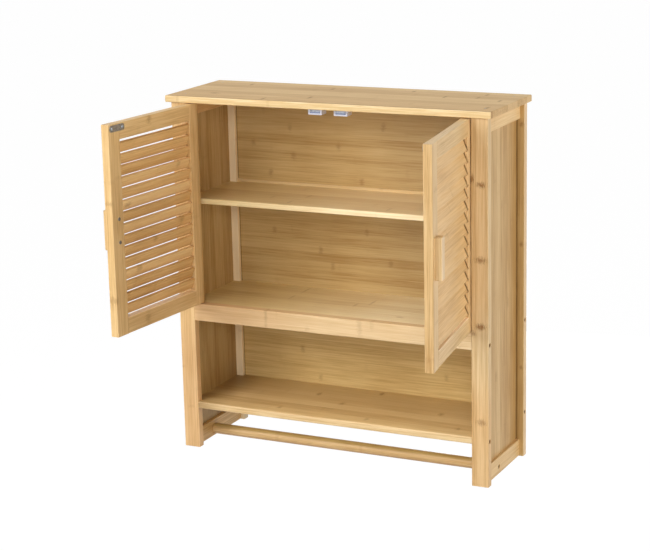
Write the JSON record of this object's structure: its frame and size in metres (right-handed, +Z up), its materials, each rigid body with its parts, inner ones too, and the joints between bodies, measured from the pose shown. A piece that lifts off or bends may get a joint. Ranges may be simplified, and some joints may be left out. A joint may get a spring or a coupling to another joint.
{
  "type": "bathroom wall cabinet",
  "caption": "Wall-hung bamboo bathroom cabinet with louvred swing doors, inner shelf, open shelf and towel bar.",
  "frame": {"origin": "on the wall, midway between the entry holes of the keyhole hanger plates", "axes": "+X along the wall to the right as seen from the front, +Y into the wall, +Z up; the front faces -Y and the back lies on Y = 0"},
  "size_m": [0.6258, 0.4446, 0.66],
  "materials": {
    "bamboo_frame": "clear satin lacquer on solid bamboo, long grain",
    "bamboo_board": "clear satin lacquer on edge-glued bamboo strips",
    "bamboo_panel": "clear satin lacquer on thin bamboo panel",
    "bamboo_bar": "clear satin lacquer on turned bamboo",
    "steel": "zinc plated",
    "magnet": "black ferrite",
    "catch_plastic": "white moulded"
  },
  "bodies": {
    "cabinet": {"apron": "bamboo_board", "bottom_shelf": "bamboo_board", "catch_magnets": "magnet", "catch_pole_plates": "steel", "frame_screws": "steel", "hanger_plates": "steel", "left_catch_body": "catch_plastic", "left_front_stile": "bamboo_frame", "left_rear_stile": "bamboo_frame", "left_shelf_cleat": "bamboo_frame", "left_side_bottom_rail": "bamboo_frame", "left_side_panel": "bamboo_panel", "left_side_top_rail": "bamboo_frame", "lower_back_panel": "bamboo_panel", "middle_back_panel": "bamboo_panel", "middle_back_rail": "bamboo_frame", "middle_board": "bamboo_board", "right_catch_body": "catch_plastic", "right_front_stile": "bamboo_frame", "right_rear_stile": "bamboo_frame", "right_shelf_cleat": "bamboo_frame", "right_side_bottom_rail": "bamboo_frame", "right_side_panel": "bamboo_panel", "right_side_top_rail": "bamboo_frame", "shelf_back_rail": "bamboo_frame", "top_board": "bamboo_board", "towel_bar": "bamboo_bar", "towel_bar_screws": "steel", "upper_back_panel": "bamboo_panel", "upper_shelf": "bamboo_board"},
    "left_door": {"left_door_bottom_rail": "bamboo_frame", "left_door_free_stile": "bamboo_frame", "left_door_handle": "bamboo_frame", "left_door_hinge_stile": "bamboo_frame", "left_door_slats": "bamboo_frame", "left_door_top_rail": "bamboo_frame", "left_handle_screws": "steel", "left_pivot_pins": "steel", "left_strike_plate": "steel"},
    "right_door": {"right_door_bottom_rail": "bamboo_frame", "right_door_free_stile": "bamboo_frame", "right_door_handle": "bamboo_frame", "right_door_hinge_stile": "bamboo_frame", "right_door_slats": "bamboo_frame", "right_door_top_rail": "bamboo_frame", "right_handle_screws": "steel", "right_pivot_pins": "steel", "right_strike_plate": "steel"}
  },
  "joints": [
    {"name": "left_door_swing", "type": "hinge", "parent": "cabinet", "child": "left_door", "pos_m": [-0.2615, -0.1845, -0.137], "axis": [0, 0, -1], "range_deg": [-95, 7]},
    {"name": "right_door_swing", "type": "hinge", "parent": "cabinet", "child": "right_door", "pos_m": [0.2615, -0.1845, -0.137], "axis": [0, 0, 1], "range_deg": [-98, 4]}
  ]
}
